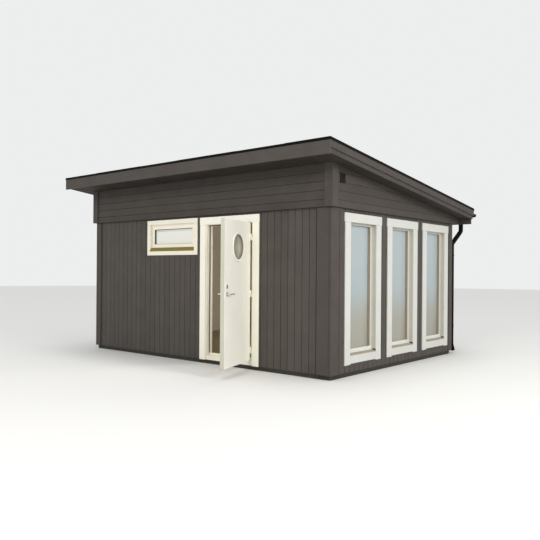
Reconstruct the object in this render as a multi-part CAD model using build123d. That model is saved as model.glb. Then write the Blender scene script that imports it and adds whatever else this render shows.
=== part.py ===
from build123d import *
import math
import os

# Garden cabin with a single-slope roof, in millimetres.
# X runs along the door wall, Y from the door wall to the back, Z up.
# The origin is on the ground, at the middle of the walls' outline.

# Walls, measured over the board faces
LENGTH = 5000.0
DEPTH = 3620.0
WALL_THICK = 120.0

# Base and floor
SILL_HEIGHT = 58.0
SILL_THICK = 120.0
SILL_SETBACK = 10.0
FLOOR_TOP = 125.0
FLOOR_THICK = 22.0
JOIST_WIDTH = 45.0
JOIST_COUNT = 10

# Roof: one plane that falls from the door wall to the back
ROOF_TOP_FRONT = 3000.0
ROOF_PITCH_DEG = 6.70
FRONT_OVERHANG = 472.0
BACK_OVERHANG = 264.0
SIDE_OVERHANG = 303.0
FELT_THICK = 6.0
EDGE_TRIM_DROP = 36.0
EDGE_TRIM_THICK = 5.0
DECK_THICK = 22.0
RAFTER_WIDTH = 45.0
RAFTER_COUNT = 9
LINING_THICK = 12.0
LINING_DROP = 176.0

# Edge boards of the roof, by how far they reach below its top face
EDGE_BOARD_THICK = 22.0
FASCIA_TOP_DROP = 6.0
FRONT_FASCIA_DROP = 203.0
BARGE_UPPER_DROP = 121.0
BARGE_LOWER_DROP = 181.0

# Upper band of level boards and its corner boards
BAND_DROP = 780.0
BAND_THICK = 46.0
BAND_CORNER_WIDTH = 105.0
BAND_CORNER_THICK = 22.0
BACK_FASCIA_RISE = 4.0
BACK_SOFFIT_RISE = 12.0

# Corner boards of the lower walls
CORNER_THICK = 22.0
CORNER_WIDTH_FRONT_RIGHT = 219.0
CORNER_WIDTH_FRONT_LEFT = 106.0
CORNER_WIDTH_SIDE_FRONT = 217.0
CORNER_WIDTH_SIDE_BACK = 110.0
CORNER_WIDTH_BACK = 120.0

# Boards round all the openings
CASING_THICK = 15.0

# Doorway in the front wall
DOOR_FROM_CORNER = 1205.0
DOOR_BAND_GAP = 28.0
DOOR_FRAME_WIDTH = 990.0
DOOR_FRAME_FACE = 46.0
DOOR_FRAME_DEPTH = 105.0
DOOR_STOP_WIDTH = 14.0
DOOR_CASING_WIDTH = 115.0
DOOR_CASING_LAP = 22.0
DOOR_CASING_BOTTOM = 54.0
DOOR_HEADER_END = 5.0
DOOR_HEADER_HEIGHT = 110.0
DOOR_HEADER_LAP = 40.0
THRESHOLD_HEIGHT = 30.0

# Door leaf, hung on the right and shown open
LEAF_THICK = 58.0
LEAF_GAP = 5.0
LEAF_OPEN_DEG = 110.0
PIN_PROUD = 10.0
PIN_RADIUS = 4.0
PIN_CLEARANCE = 0.1
KNUCKLE_RADIUS = 8.0
KNUCKLE_HEIGHT = 45.0
KNUCKLE_GAP = 0.3
HINGE_PLATE_WIDTH = 22.0
HINGE_PLATE_THICK = 2.0
HINGE_COUNT = 3
HINGE_FROM_BOTTOM = 150.0
HINGE_FROM_TOP = 200.0

# Round window in the leaf
PORT_GLASS_RADIUS = 168.0
PORT_HOLE_RADIUS = 180.0
PORT_RING_RADIUS = 205.0
PORT_RING_PROUD = 14.0
PORT_BEAD_PROUD = 5.0
PORT_FROM_TOP = 354.0
PORT_GLASS_THICK = 24.0

# Lever handles and lock cylinder
BACKSET = 70.0
LEVER_Z = 1092.0
LOCK_Z = 1188.0
ROSETTE_RADIUS = 25.0
ROSETTE_THICK = 8.0
ROSETTE_CLEARANCE = 0.1
LEVER_RADIUS = 8.5
LEVER_NECK = 55.0
LEVER_LENGTH = 130.0
SPINDLE_SIZE = 8.0
SPINDLE_HOLE_RADIUS = 11.0
LOCK_RADIUS = 17.0
LOCK_PROUD = 12.0

# Window frames
WINDOW_FRAME_FACE = 43.0
WINDOW_FRAME_DEPTH = 76.0
SASH_DEPTH = 66.0
SASH_SETBACK = 8.0
SASH_BEVEL = 6.0
GLASS_THICK = 20.0
GLASS_POCKET = 12.0

# Tall windows in the right wall, spread evenly between its two margins
TALL_FRONT_MARGIN = 316.0
TALL_BACK_MARGIN = 132.0
TALL_MIN_GAP = 60.0
TALL_BAND_GAP = 47.0
TALL_FRAME_WIDTH = 735.0
TALL_FRAME_BOTTOM = 257.0
TALL_FRAME_FOOT = 43.0
TALL_SETBACK = 42.0
TALL_SIDE_LAP = 35.0
TALL_HEAD_LAP = 62.0
TALL_FOOT_LAP = 29.0
TALL_CASING_WIDTH = 134.0
TALL_HEADER_HEIGHT = 121.0
TALL_HEADER_END = 15.0
TALL_FOOT_HEIGHT = 117.0
TALL_CASING_TAIL = 13.0
TALL_SASH_FACE = 50.0
TALL_GLASS_SETBACK = 40.0
TALL_FLASHING_RISE = 12.0

# Small high window in the front wall
SMALL_TO_DOOR = 63.0
SMALL_BAND_GAP = 24.0
SMALL_FRAME_WIDTH = 1086.0
SMALL_FRAME_HEIGHT = 476.0
SMALL_FRAME_FOOT = 77.0
SMALL_SETBACK = 14.0
SMALL_CASING_LAP = 25.0
SMALL_CASING_WIDTH = 72.0
SMALL_CASING_TOP = 70.0
SMALL_CASING_FOOT = 66.0
SMALL_SASH_FACE = 62.0
SMALL_GLASS_SETBACK = 26.0
SMALL_FLASHING_RISE = 50.0

# Sheet flashing under each window
FLASHING_EDGE = 2.5
FLASHING_LIP = 9.0
FLASHING_NOSE = 3.0

# Rainwater goods on the back eave
GUTTER_RADIUS = 55.0
GUTTER_WALL = 2.5
GUTTER_DROP = 90.0
GUTTER_END_INSET = 5.0
SEAT_GAP = 0.3
BRACKET_WIDTH = 25.0
BRACKET_THICK = 4.0
BRACKET_COUNT = 7
BRACKET_RISE = 45.0
OUTLET_FROM_VERGE = 258.0
PIPE_RADIUS = 37.5
PIPE_WALL = 2.5
PIPE_FROM_CORNER = 10.0
PIPE_WALL_GAP = 40.0
PIPE_NECK_TOP_DROP = 110.0
PIPE_NECK_HEIGHT = 230.0
PIPE_SHOE_TOP = 160.0
PIPE_SHOE_BOTTOM = 55.0
PIPE_SHOE_REACH = 60.0
PIPE_BEND_RADIUS = 60.0
PIPE_MOUTH_DEPTH = 40.0
PIPE_CLIP_LOW = 480.0
PIPE_CLIP_FROM_NECK = 200.0
PIPE_CLIP_HEIGHT = 25.0
PIPE_CLIP_THICK = 3.0

# Vent grille on the right band
VENT_WIDTH = 114.0
VENT_HEIGHT = 130.0
VENT_FROM_CORNER = 187.0
VENT_BAND_RISE = 383.0
VENT_DEPTH = 10.0
VENT_RIM = 10.0
VENT_SLATS = 6
VENT_SLAT_THICK = 3.0

# Places worked out from the sizes
RIGHT = LENGTH / 2
LEFT = -LENGTH / 2
FRONT = -DEPTH / 2
BACK = DEPTH / 2
SLOPE = math.tan(math.radians(ROOF_PITCH_DEG))
EAVE_FRONT = FRONT - FRONT_OVERHANG
EAVE_BACK = BACK + BACK_OVERHANG
VERGE = RIGHT + SIDE_OVERHANG
BARGE_INNER = VERGE - 2 * EDGE_BOARD_THICK
DECK_DROP = FELT_THICK + DECK_THICK
RAFTER_DROP = LINING_DROP - LINING_THICK
BAND_BOTTOM = ROOF_TOP_FRONT - BAND_DROP
BAND_OUT = RIGHT + BAND_THICK

DOOR_FRAME_TOP = BAND_BOTTOM - DOOR_BAND_GAP - DOOR_HEADER_HEIGHT + DOOR_HEADER_LAP
DOOR_CASING_OUT = DOOR_FRAME_WIDTH / 2 - DOOR_CASING_LAP + DOOR_CASING_WIDTH
DOOR_CENTRE_X = RIGHT - DOOR_FROM_CORNER - DOOR_CASING_OUT
LEAF_RIGHT = DOOR_CENTRE_X + DOOR_FRAME_WIDTH / 2 - DOOR_FRAME_FACE - LEAF_GAP
LEAF_LEFT = DOOR_CENTRE_X - DOOR_FRAME_WIDTH / 2 + DOOR_FRAME_FACE + LEAF_GAP
LEAF_BOTTOM = FLOOR_TOP + LEAF_GAP
LEAF_TOP = DOOR_FRAME_TOP - DOOR_FRAME_FACE - LEAF_GAP
LEAF_BACK = FRONT + LEAF_THICK
PIN_X = LEAF_RIGHT + LEAF_GAP / 2
PIN_Y = FRONT - PIN_PROUD
PORT_X = (LEAF_LEFT + LEAF_RIGHT) / 2
PORT_Z = LEAF_TOP - PORT_FROM_TOP
LEVER_X = LEAF_LEFT + BACKSET

TALL_CASING_OUT = TALL_FRAME_WIDTH / 2 - TALL_SIDE_LAP + TALL_CASING_WIDTH
TALL_FRAME_TOP = BAND_BOTTOM - TALL_BAND_GAP - TALL_HEADER_HEIGHT + TALL_HEAD_LAP
SMALL_CASING_OUT = SMALL_FRAME_WIDTH / 2 - SMALL_CASING_LAP + SMALL_CASING_WIDTH
SMALL_CENTRE_X = DOOR_CENTRE_X - DOOR_CASING_OUT - SMALL_TO_DOOR - SMALL_CASING_OUT
SMALL_FRAME_TOP = BAND_BOTTOM - SMALL_BAND_GAP - SMALL_CASING_TOP + SMALL_CASING_LAP
SMALL_FRAME_BOTTOM = SMALL_FRAME_TOP - SMALL_FRAME_HEIGHT


def save(shape, node):
    export_step(shape, f"parts/{node}.step")


def roof_z(y, drop):
    return ROOF_TOP_FRONT - (y - EAVE_FRONT) * SLOPE - drop


def block(x0, x1, y0, y1, z0, z1):
    middle = Pos((x0 + x1) / 2, (y0 + y1) / 2, (z0 + z1) / 2)
    return middle * Box(abs(x1 - x0), abs(y1 - y0), abs(z1 - z0))


def prism_along_x(points, x0, x1):
    outline = Polyline(*[(x0, y, z) for y, z in points], close=True)
    return extrude(make_face(outline), amount=x1 - x0, dir=(1, 0, 0))


def prism_along_y(points, y0, y1):
    outline = Polyline(*[(x, y0, z) for x, z in points], close=True)
    return extrude(make_face(outline), amount=y1 - y0, dir=(0, 1, 0))


def under_roof(x0, x1, y0, y1, z0, drop):
    points = [(y0, z0), (y1, z0), (y1, roof_z(y1, drop)), (y0, roof_z(y0, drop))]
    return prism_along_x(points, x0, x1)


def roof_layer(x0, x1, y0, y1, top_drop, bottom_drop):
    points = [
        (y0, roof_z(y0, top_drop)),
        (y1, roof_z(y1, top_drop)),
        (y1, roof_z(y1, bottom_drop)),
        (y0, roof_z(y0, bottom_drop)),
    ]
    return prism_along_x(points, x0, x1)


def base_and_floor():
    out_x = RIGHT - SILL_SETBACK
    out_y = BACK - SILL_SETBACK
    outer = block(-out_x, out_x, -out_y, out_y, 0, SILL_HEIGHT)
    in_x = RIGHT - SILL_THICK
    in_y = BACK - SILL_THICK
    inner = block(-in_x, in_x, -in_y, in_y, 0, SILL_HEIGHT)
    save(outer - inner, "base_sill")

    room_x = RIGHT - WALL_THICK
    room_y = BACK - WALL_THICK
    joist_top = FLOOR_TOP - FLOOR_THICK
    pitch = (2 * room_x - JOIST_WIDTH) / (JOIST_COUNT - 1)
    joists = []
    for i in range(JOIST_COUNT):
        x = -room_x + i * pitch
        joists.append(block(x, x + JOIST_WIDTH, -room_y, room_y, 0, joist_top))
    save(Compound(children=joists), "floor_joists")
    save(block(-room_x, room_x, -room_y, room_y, joist_top, FLOOR_TOP), "floor_boards")


def front_wall():
    inside = FRONT + WALL_THICK
    door_left = DOOR_CENTRE_X - DOOR_FRAME_WIDTH / 2
    door_right = DOOR_CENTRE_X + DOOR_FRAME_WIDTH / 2
    left = under_roof(LEFT, door_left, FRONT, inside, SILL_HEIGHT, RAFTER_DROP)
    half = SMALL_FRAME_WIDTH / 2
    hole = block(
        SMALL_CENTRE_X - half,
        SMALL_CENTRE_X + half,
        FRONT,
        inside,
        SMALL_FRAME_BOTTOM,
        SMALL_FRAME_TOP,
    )
    save(left - hole, "front_wall_left")
    right = under_roof(door_right, RIGHT, FRONT, inside, SILL_HEIGHT, RAFTER_DROP)
    save(right, "front_wall_right")
    over = under_roof(door_left, door_right, FRONT, inside, DOOR_FRAME_TOP, RAFTER_DROP)
    save(over, "front_wall_lintel")


def tall_window_places():
    casing = 2 * TALL_CASING_OUT
    room = DEPTH - TALL_FRONT_MARGIN - TALL_BACK_MARGIN
    count = int((room + TALL_MIN_GAP) / (casing + TALL_MIN_GAP))
    pitch = (room - casing) / max(count - 1, 1)
    first = FRONT + TALL_FRONT_MARGIN + TALL_CASING_OUT
    return [first + pitch * i for i in range(count)]


def side_and_back_walls():
    y0 = FRONT + WALL_THICK
    y1 = BACK - WALL_THICK
    right = under_roof(RIGHT - WALL_THICK, RIGHT, y0, y1, SILL_HEIGHT, RAFTER_DROP)
    half = TALL_FRAME_WIDTH / 2
    for y in tall_window_places():
        right -= block(
            RIGHT - WALL_THICK,
            RIGHT,
            y - half,
            y + half,
            TALL_FRAME_BOTTOM,
            TALL_FRAME_TOP,
        )
    save(right, "right_wall")
    left = under_roof(LEFT, LEFT + WALL_THICK, y0, y1, SILL_HEIGHT, RAFTER_DROP)
    save(left, "left_wall")
    back = under_roof(LEFT, RIGHT, y1, BACK, SILL_HEIGHT, RAFTER_DROP)
    save(back, "back_wall")


def roof():
    room_x = RIGHT - WALL_THICK
    y0 = EAVE_FRONT + EDGE_BOARD_THICK
    y1 = EAVE_BACK - EDGE_BOARD_THICK
    ceiling = roof_layer(
        -room_x,
        room_x,
        FRONT + WALL_THICK,
        BACK - WALL_THICK,
        RAFTER_DROP,
        LINING_DROP,
    )
    save(ceiling, "ceiling")

    first = -BARGE_INNER
    pitch = (2 * BARGE_INNER - RAFTER_WIDTH) / (RAFTER_COUNT - 1)
    rafters = []
    for i in range(RAFTER_COUNT):
        x = first + i * pitch
        rafters.append(roof_layer(x, x + RAFTER_WIDTH, y0, y1, DECK_DROP, RAFTER_DROP))
    save(Compound(children=rafters), "rafters")
    deck = roof_layer(-BARGE_INNER, BARGE_INNER, y0, y1, FELT_THICK, DECK_DROP)
    save(deck, "roof_deck")

    out_x = VERGE + EDGE_TRIM_THICK
    front = EAVE_FRONT - EDGE_TRIM_THICK
    back = EAVE_BACK + EDGE_TRIM_THICK
    save(roof_layer(-out_x, out_x, front, back, 0, FELT_THICK), "roof_felt")

    strips = []
    for y0, y1 in ((front, EAVE_FRONT), (EAVE_BACK, back)):
        strips.append(roof_layer(-out_x, out_x, y0, y1, FELT_THICK, EDGE_TRIM_DROP))
    y0 = EAVE_FRONT + SEAT_GAP
    y1 = EAVE_BACK - SEAT_GAP
    for x0, x1 in ((-out_x, -VERGE), (VERGE, out_x)):
        strips.append(roof_layer(x0, x1, y0, y1, FELT_THICK, EDGE_TRIM_DROP))
    save(Compound(children=strips), "roof_edge_trims")


def fascias():
    y0 = EAVE_FRONT
    y1 = EAVE_FRONT + EDGE_BOARD_THICK
    front_bottom = roof_z(y0, FRONT_FASCIA_DROP)
    front = under_roof(-BARGE_INNER, BARGE_INNER, y0, y1, front_bottom, FASCIA_TOP_DROP)
    y2 = EAVE_BACK - EDGE_BOARD_THICK
    back = under_roof(
        -BARGE_INNER,
        BARGE_INNER,
        y2,
        EAVE_BACK,
        BAND_BOTTOM + BACK_FASCIA_RISE,
        FASCIA_TOP_DROP,
    )
    save(Compound(children=[front, back]), "fascias")

    lower_out = BARGE_INNER + EDGE_BOARD_THICK
    boards = []
    lower = roof_layer(
        BARGE_INNER, lower_out, EAVE_FRONT, EAVE_BACK, FASCIA_TOP_DROP, BARGE_LOWER_DROP
    )
    upper = roof_layer(
        lower_out, VERGE, EAVE_FRONT, EAVE_BACK, FASCIA_TOP_DROP, BARGE_UPPER_DROP
    )
    right = lower + upper
    boards.append(right)
    boards.append(mirror(right, about=Plane.YZ))
    save(Compound(children=boards), "bargeboards")


def soffits():
    y0 = EAVE_FRONT + EDGE_BOARD_THICK
    y1 = EAVE_BACK - EDGE_BOARD_THICK
    front = roof_layer(
        -BAND_OUT, BAND_OUT, y0, FRONT - BAND_THICK, RAFTER_DROP, LINING_DROP
    )
    save(front, "front_soffit")
    right = roof_layer(BAND_OUT, BARGE_INNER, y0, y1, RAFTER_DROP, LINING_DROP)
    sides = [right, mirror(right, about=Plane.YZ)]
    save(Compound(children=sides), "side_soffits")
    bottom = BAND_BOTTOM + BACK_SOFFIT_RISE
    save(block(LEFT, RIGHT, BACK, y1, bottom, bottom + LINING_THICK), "back_soffit")


def bands():
    front = under_roof(
        -BAND_OUT, BAND_OUT, FRONT - BAND_THICK, FRONT, BAND_BOTTOM, RAFTER_DROP
    )
    save(front, "front_band")
    end = EAVE_BACK - EDGE_BOARD_THICK
    right = under_roof(RIGHT, BAND_OUT, FRONT, end, BAND_BOTTOM, RAFTER_DROP)
    sides = [right, mirror(right, about=Plane.YZ)]
    save(Compound(children=sides), "side_bands")


def corner_angle(corner_x, corner_y, width_x, width_y, thick, bottom, top):
    sx = math.copysign(1, corner_x)
    sy = math.copysign(1, corner_y)
    face_x = corner_x + sx * thick
    face_y = corner_y + sy * thick
    along_x = block(face_x - sx * (width_x + thick), face_x, corner_y, face_y, bottom, top)
    along_y = block(corner_x, face_x, face_y - sy * (width_y + thick), face_y, bottom, top)
    return along_x + along_y


def corner_boards():
    pieces = []
    for x, y, width_x, width_y in (
        (RIGHT, FRONT, CORNER_WIDTH_FRONT_RIGHT, CORNER_WIDTH_SIDE_FRONT),
        (LEFT, FRONT, CORNER_WIDTH_FRONT_LEFT, CORNER_WIDTH_SIDE_FRONT),
        (RIGHT, BACK, CORNER_WIDTH_BACK, CORNER_WIDTH_SIDE_BACK),
        (LEFT, BACK, CORNER_WIDTH_BACK, CORNER_WIDTH_SIDE_BACK),
    ):
        pieces.append(
            corner_angle(x, y, width_x, width_y, CORNER_THICK, SILL_HEIGHT, BAND_BOTTOM)
        )
    for side in (1, -1):
        x = side * BAND_OUT
        y = FRONT - BAND_THICK
        out = BAND_CORNER_THICK
        tall = corner_angle(
            x, y, BAND_CORNER_WIDTH, BAND_CORNER_WIDTH, out, BAND_BOTTOM, ROOF_TOP_FRONT
        )
        edge = y - out
        low_y = y + BAND_CORNER_WIDTH
        under = under_roof(-VERGE, VERGE, edge, low_y, BAND_BOTTOM, LINING_DROP)
        pieces.append(tall & under)
    save(Compound(children=pieces), "corner_boards")


def window_ring(width, bottom, top, face, foot, y0, y1):
    half = width / 2
    outer = block(-half, half, y0, y1, bottom, top)
    return outer - block(-half + face, half - face, y0, y1, bottom + foot, top - face)


def make_window(width, bottom, top, foot, front, laps, sash_face, glass_setback):
    """A window that faces the door side, centred on x 0, with its wall's face at y 0."""
    back = front + WINDOW_FRAME_DEPTH
    inset = WINDOW_FRAME_FACE
    frame = window_ring(width, bottom, top, inset, foot, front, back)
    side_lap, head_lap, foot_lap = laps
    reveal = block(-width / 2, width / 2, 0, front, bottom, top)
    opening = width / 2 - side_lap
    reveal -= block(-opening, opening, 0, front, bottom + foot_lap, top - head_lap)
    frame += reveal
    sash_width = width - 2 * inset
    sash_low = bottom + foot
    sash_high = top - inset
    sash_front = front + SASH_SETBACK
    sash_back = sash_front + SASH_DEPTH
    sash = window_ring(
        sash_width, sash_low, sash_high, sash_face, sash_face, sash_front, sash_back
    )
    face = sash.faces().sort_by(Axis.Y)[0]
    sash = chamfer(face.inner_wires()[0].edges(), SASH_BEVEL)
    edge = sash_face - GLASS_POCKET
    half = sash_width / 2 - edge
    glass_front = sash_front + glass_setback
    glass_back = glass_front + GLASS_THICK
    glass = block(-half, half, glass_front, glass_back, sash_low + edge, sash_high - edge)
    return frame, sash - glass, glass


def make_flashing(width, seat, frame_front, rise):
    """A sloped sheet with a lip, on top of the casing's foot board."""
    nose = -CASING_THICK - FLASHING_NOSE
    points = [
        (frame_front, seat),
        (frame_front, seat + rise),
        (nose, seat + FLASHING_EDGE),
        (nose, seat - FLASHING_LIP),
        (-CASING_THICK, seat - FLASHING_LIP),
        (-CASING_THICK, seat),
    ]
    return prism_along_x(points, -width / 2, width / 2)


def tall_casing():
    half = TALL_CASING_OUT - TALL_CASING_WIDTH
    foot_top = TALL_FRAME_BOTTOM + TALL_FOOT_LAP
    foot_bottom = foot_top - TALL_FOOT_HEIGHT
    tail = foot_bottom - TALL_CASING_TAIL
    head = TALL_FRAME_TOP - TALL_HEAD_LAP
    out = TALL_CASING_OUT
    boards = block(-out, out, -CASING_THICK, 0, tail, head)
    boards -= block(-half, half, -CASING_THICK, 0, foot_top, head)
    boards -= block(-half, half, -CASING_THICK, 0, tail, foot_bottom)
    end = out + TALL_HEADER_END
    return boards + block(-end, end, -CASING_THICK, 0, head, head + TALL_HEADER_HEIGHT)


def small_casing():
    half = SMALL_CASING_OUT - SMALL_CASING_WIDTH
    low = SMALL_FRAME_BOTTOM + SMALL_CASING_LAP
    high = SMALL_FRAME_TOP - SMALL_CASING_LAP
    out = SMALL_CASING_OUT
    boards = block(
        -out, out, -CASING_THICK, 0, low - SMALL_CASING_FOOT, high + SMALL_CASING_TOP
    )
    return boards - block(-half, half, -CASING_THICK, 0, low, high)


def windows():
    tall = make_window(
        TALL_FRAME_WIDTH,
        TALL_FRAME_BOTTOM,
        TALL_FRAME_TOP,
        TALL_FRAME_FOOT,
        TALL_SETBACK,
        (TALL_SIDE_LAP, TALL_HEAD_LAP, TALL_FOOT_LAP),
        TALL_SASH_FACE,
        TALL_GLASS_SETBACK,
    )
    tall_sheet = make_flashing(
        TALL_FRAME_WIDTH - 2 * TALL_SIDE_LAP,
        TALL_FRAME_BOTTOM + TALL_FOOT_LAP,
        TALL_SETBACK,
        TALL_FLASHING_RISE,
    )
    small = make_window(
        SMALL_FRAME_WIDTH,
        SMALL_FRAME_BOTTOM,
        SMALL_FRAME_TOP,
        SMALL_FRAME_FOOT,
        SMALL_SETBACK,
        (SMALL_CASING_LAP, SMALL_CASING_LAP, SMALL_CASING_LAP),
        SMALL_SASH_FACE,
        SMALL_GLASS_SETBACK,
    )
    small_sheet = make_flashing(
        SMALL_FRAME_WIDTH - 2 * SMALL_CASING_LAP,
        SMALL_FRAME_BOTTOM + SMALL_CASING_LAP,
        SMALL_SETBACK,
        SMALL_FLASHING_RISE,
    )
    places = [Pos(RIGHT, y, 0) * Rot(0, 0, 90) for y in tall_window_places()]
    small_place = Pos(SMALL_CENTRE_X, FRONT, 0)

    tall_frame, tall_sash, tall_glass = tall
    for shape, node in (
        (tall_casing(), "tall_window_casings"),
        (tall_frame, "tall_window_frames"),
        (tall_sash, "tall_window_sashes"),
    ):
        save(Compound(children=[place * shape for place in places]), node)
    small_frame, small_sash, small_glass = small
    save(small_place * small_casing(), "small_window_casing")
    save(small_place * small_frame, "small_window_frame")
    save(small_place * small_sash, "small_window_sash")

    panes = [place * tall_glass for place in places] + [small_place * small_glass]
    save(Compound(children=panes), "window_glass")
    sheets = [place * tall_sheet for place in places] + [small_place * small_sheet]
    save(Compound(children=sheets), "window_flashings")


def doorway():
    half = DOOR_FRAME_WIDTH / 2
    back = FRONT + DOOR_FRAME_DEPTH
    stop = FRONT + LEAF_THICK + LEAF_GAP
    face = DOOR_FRAME_FACE
    frame = block(-half, half, FRONT, back, SILL_HEIGHT, DOOR_FRAME_TOP)
    rebate = half - face
    head = DOOR_FRAME_TOP - face
    frame -= block(-rebate, rebate, FRONT, stop, SILL_HEIGHT, head)
    clear = rebate - DOOR_STOP_WIDTH
    frame -= block(-clear, clear, stop, back, FLOOR_TOP, head - DOOR_STOP_WIDTH)
    frame -= block(-rebate, rebate, stop, back, SILL_HEIGHT, FLOOR_TOP)
    place = Pos(DOOR_CENTRE_X, 0, 0)
    save(place * frame, "door_frame")

    riser = block(-rebate, rebate, FRONT, FRONT + WALL_THICK, SILL_HEIGHT, FLOOR_TOP)
    tread = block(-clear, clear, stop, back, FLOOR_TOP, FLOOR_TOP + THRESHOLD_HEIGHT)
    save(place * (riser + tread), "door_threshold")

    inner = half - DOOR_CASING_LAP
    outer = DOOR_CASING_OUT
    head_low = DOOR_FRAME_TOP - DOOR_HEADER_LAP
    front = FRONT - CASING_THICK
    casing = block(-outer, outer, front, FRONT, DOOR_CASING_BOTTOM, head_low)
    casing -= block(-inner, inner, front, FRONT, DOOR_CASING_BOTTOM, head_low)
    end = outer + DOOR_HEADER_END
    casing += block(-end, end, front, FRONT, head_low, head_low + DOOR_HEADER_HEIGHT)
    save(place * casing, "door_casing")


def swing_open(shape):
    axis = Axis((PIN_X, PIN_Y, 0), (0, 0, 1))
    return shape.rotate(axis, LEAF_OPEN_DEG)


def disc_along_y(x, z, radius, y0, y1):
    circle = Plane(origin=(x, y0, z), z_dir=(0, 1, 0)) * Circle(radius)
    return extrude(circle, amount=y1 - y0, dir=(0, 1, 0))


def mirror_to_inside(shape):
    middle = Plane(origin=(0, (FRONT + LEAF_BACK) / 2, 0), z_dir=(0, 1, 0))
    return mirror(shape, about=middle)


def port_ring(glass_face):
    """The outer ring: a bead that holds the glass, and a rim that laps on the leaf."""
    inner = PORT_GLASS_RADIUS
    neck = PORT_HOLE_RADIUS
    crest = (neck + PORT_RING_RADIUS) / 2
    profile = [
        (inner, glass_face),
        (neck, glass_face),
        (neck, FRONT),
        (PORT_RING_RADIUS, FRONT),
        (PORT_RING_RADIUS, FRONT - PORT_BEAD_PROUD),
        (crest, FRONT - PORT_RING_PROUD),
        (inner, FRONT - PORT_BEAD_PROUD),
    ]
    points = [(PORT_X + radius, y, PORT_Z) for radius, y in profile]
    axis = Axis((PORT_X, 0, PORT_Z), (0, 1, 0))
    return revolve(make_face(Polyline(*points, close=True)), axis)


def door_leaf():
    leaf = block(LEAF_LEFT, LEAF_RIGHT, FRONT, LEAF_BACK, LEAF_BOTTOM, LEAF_TOP)
    leaf -= disc_along_y(PORT_X, PORT_Z, PORT_HOLE_RADIUS, FRONT, LEAF_BACK)
    leaf -= disc_along_y(LEVER_X, LEVER_Z, SPINDLE_HOLE_RADIUS, FRONT, LEAF_BACK)
    save(swing_open(leaf), "door_leaf")

    glass_face = (FRONT + LEAF_BACK - PORT_GLASS_THICK) / 2
    ring = port_ring(glass_face)
    rings = Compound(children=[ring, mirror_to_inside(ring)])
    save(swing_open(rings), "door_window_rings")
    glass = disc_along_y(
        PORT_X,
        PORT_Z,
        PORT_HOLE_RADIUS - SEAT_GAP,
        glass_face,
        glass_face + PORT_GLASS_THICK,
    )
    save(swing_open(glass), "door_window_glass")


def door_hinges():
    plate_y = FRONT - HINGE_PLATE_THICK
    fixed = []
    turning = []
    lowest = LEAF_BOTTOM + HINGE_FROM_BOTTOM
    highest = LEAF_TOP - HINGE_FROM_TOP
    for i in range(HINGE_COUNT):
        height = lowest + (highest - lowest) * i / (HINGE_COUNT - 1)
        low = height - KNUCKLE_HEIGHT
        knuckle = Pos(PIN_X, PIN_Y, height - KNUCKLE_HEIGHT / 2)
        knuckle = knuckle * Cylinder(KNUCKLE_RADIUS, KNUCKLE_HEIGHT)
        jamb_edge = LEAF_RIGHT + LEAF_GAP
        plate = block(
            jamb_edge, jamb_edge + HINGE_PLATE_WIDTH, plate_y, FRONT, low, height
        )
        web = block(PIN_X, jamb_edge + KNUCKLE_RADIUS, PIN_Y, plate_y, low, height)
        pin_height = 2 * KNUCKLE_HEIGHT - KNUCKLE_RADIUS
        pin = Pos(PIN_X, PIN_Y, low + pin_height / 2) * Cylinder(PIN_RADIUS, pin_height)
        fixed.append(knuckle + plate + web + pin)

        bottom = height + KNUCKLE_GAP
        top = bottom + KNUCKLE_HEIGHT
        knuckle = Pos(PIN_X, PIN_Y, (bottom + top) / 2)
        knuckle = knuckle * Cylinder(KNUCKLE_RADIUS, KNUCKLE_HEIGHT)
        plate = block(
            LEAF_RIGHT - HINGE_PLATE_WIDTH, LEAF_RIGHT, plate_y, FRONT, bottom, top
        )
        web = block(LEAF_RIGHT - KNUCKLE_RADIUS, PIN_X, PIN_Y, plate_y, bottom, top)
        bore_height = KNUCKLE_HEIGHT - KNUCKLE_RADIUS / 2
        bore = Pos(PIN_X, PIN_Y, bottom + bore_height / 2)
        bore = bore * Cylinder(PIN_RADIUS + PIN_CLEARANCE, bore_height)
        turning.append(knuckle + plate + web - bore)
    save(Compound(children=fixed), "hinge_frame_halves")
    save(swing_open(Compound(children=turning)), "hinge_leaf_halves")


def door_fittings():
    face = FRONT - ROSETTE_THICK
    rosette = disc_along_y(LEVER_X, LEVER_Z, ROSETTE_RADIUS, face, FRONT)
    bore = LEVER_RADIUS + ROSETTE_CLEARANCE
    rosette -= disc_along_y(LEVER_X, LEVER_Z, bore, face, FRONT)
    lock = disc_along_y(LEVER_X, LOCK_Z, ROSETTE_RADIUS, face, FRONT)
    lock += disc_along_y(LEVER_X, LOCK_Z, LOCK_RADIUS, FRONT - LOCK_PROUD, face)
    outside = [rosette, lock]
    inside = [mirror_to_inside(piece) for piece in outside]
    save(swing_open(Compound(children=outside + inside)), "door_rosettes")

    far = FRONT - LEVER_NECK
    start = (LEVER_X, FRONT, LEVER_Z)
    path = Polyline(start, (LEVER_X, far, LEVER_Z), (LEVER_X + LEVER_LENGTH, far, LEVER_Z))
    section = Plane(origin=start, z_dir=(0, -1, 0)) * Circle(LEVER_RADIUS)
    lever = sweep(section, path=path, transition=Transition.RIGHT)
    half = SPINDLE_SIZE / 2
    spindle = block(
        LEVER_X - half,
        LEVER_X + half,
        FRONT,
        LEAF_BACK,
        LEVER_Z - half,
        LEVER_Z + half,
    )
    handle = lever + spindle + mirror_to_inside(lever)
    save(swing_open(handle), "door_handle")


def half_round(outer, inner, x0, x1, y, z):
    ring = Pos(x0, y, z) * Rot(0, 90, 0) * Circle(outer)
    tube = extrude(ring, amount=x1 - x0, dir=(1, 0, 0))
    if inner > 0:
        hole = Pos(x0, y, z) * Rot(0, 90, 0) * Circle(inner)
        tube -= extrude(hole, amount=x1 - x0, dir=(1, 0, 0))
    return tube - block(x0, x1, y - outer, y + outer, z, z + 2 * outer)


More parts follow.
